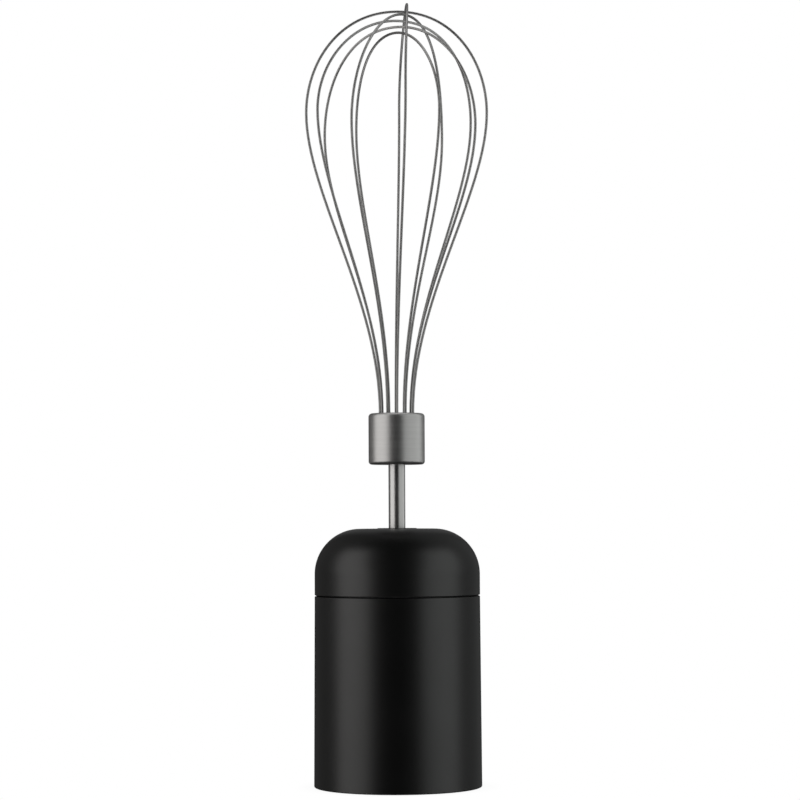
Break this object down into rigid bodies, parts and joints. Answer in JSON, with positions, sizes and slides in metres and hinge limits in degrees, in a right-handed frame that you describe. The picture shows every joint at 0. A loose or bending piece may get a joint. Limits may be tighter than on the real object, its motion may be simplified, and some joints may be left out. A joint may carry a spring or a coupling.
{
  "type": "hand mixer whisk attachment",
  "caption": "Balloon whisk with a steel shaft on a domed black gearbox adapter that plugs onto the motor handle of a stick-type hand mixer.",
  "frame": {"origin": "centre of the open rim that the attachment stands on, on the axis that everything turns about", "axes": "+Z along the shaft, from the open rim to the whisk's crown; +X across the widest wire loop, to the right as the picture shows it"},
  "size_m": [0.0662, 0.0656, 0.2811],
  "materials": {
    "black_plastic": "matte, fine moulded grain",
    "black_rubber": "matte",
    "grey_nylon": "satin, glass filled",
    "white_acetal": "satin",
    "coupling_plastic": "satin, glass filled",
    "holder_plastic": "matte",
    "sintered_bronze": "sintered, oiled",
    "zinc_steel": "zinc plated",
    "bright_steel": "turned",
    "brushed_steel": "brushed around the axis",
    "wire_steel": "drawn wire, polished"
  },
  "bodies": {
    "housing": {"lower_sleeve": "black_plastic", "top_cap": "black_plastic", "shaft_seal": "black_rubber", "cap_seal_ring": "black_rubber", "locking_ring": "black_plastic", "gearcase_cover": "grey_nylon", "gearcase_top": "grey_nylon", "ring_gear": "grey_nylon", "case_screw_1": "zinc_steel", "case_screw_2": "zinc_steel", "case_screw_3": "zinc_steel", "lower_bush": "sintered_bronze", "upper_bush": "sintered_bronze"},
    "input_drive": {"drive_coupling": "coupling_plastic", "input_shaft": "bright_steel", "input_circlip": "bright_steel", "sun_gear": "bright_steel"},
    "carrier": {"planet_carrier": "bright_steel", "planet_pin_1": "bright_steel", "planet_pin_2": "bright_steel", "planet_pin_3": "bright_steel", "thrust_washer": "white_acetal", "output_hub": "bright_steel", "hub_circlip": "bright_steel", "grip_ring": "black_rubber"},
    "planet_1": {"planet_gear_1": "white_acetal"},
    "planet_2": {"planet_gear_2": "white_acetal"},
    "planet_3": {"planet_gear_3": "white_acetal"},
    "whisk": {"whisk_shaft": "brushed_steel", "ferrule": "brushed_steel", "wire_holder": "holder_plastic", "wire_loop_1": "wire_steel", "wire_loop_2": "wire_steel", "wire_loop_3": "wire_steel", "wire_loop_4": "wire_steel", "wire_loop_5": "wire_steel", "wire_loop_6": "wire_steel"}
  },
  "joints": [
    {"name": "whisk_spin", "type": "hinge", "parent": "housing", "child": "carrier", "pos_m": [0, 0, 0.0455], "axis": [0, 0, 1], "continuous": true},
    {"name": "input_spin", "type": "hinge", "parent": "housing", "child": "input_drive", "pos_m": [0, 0, 0.034], "axis": [0, 0, 1], "continuous": true},
    {"name": "planet_1_spin", "type": "hinge", "parent": "carrier", "child": "planet_1", "pos_m": [0, 0.0126, 0.0402], "axis": [0, 0, 1], "continuous": true},
    {"name": "planet_2_spin", "type": "hinge", "parent": "carrier", "child": "planet_2", "pos_m": [-0.01091, -0.0063, 0.0402], "axis": [0, 0, 1], "continuous": true},
    {"name": "planet_3_spin", "type": "hinge", "parent": "carrier", "child": "planet_3", "pos_m": [0.01091, -0.0063, 0.0402], "axis": [0, 0, 1], "continuous": true},
    {"name": "whisk_pull", "type": "slide", "parent": "carrier", "child": "whisk", "axis": [0, 0, 1], "range_m": [0, 0.035]}
  ],
  "couplings": [
    {"joint": "input_spin", "follows": "whisk_spin", "ratio": 6},
    {"joint": "planet_1_spin", "follows": "whisk_spin", "ratio": -2.5},
    {"joint": "planet_2_spin", "follows": "whisk_spin", "ratio": -2.5},
    {"joint": "planet_3_spin", "follows": "whisk_spin", "ratio": -2.5}
  ]
}
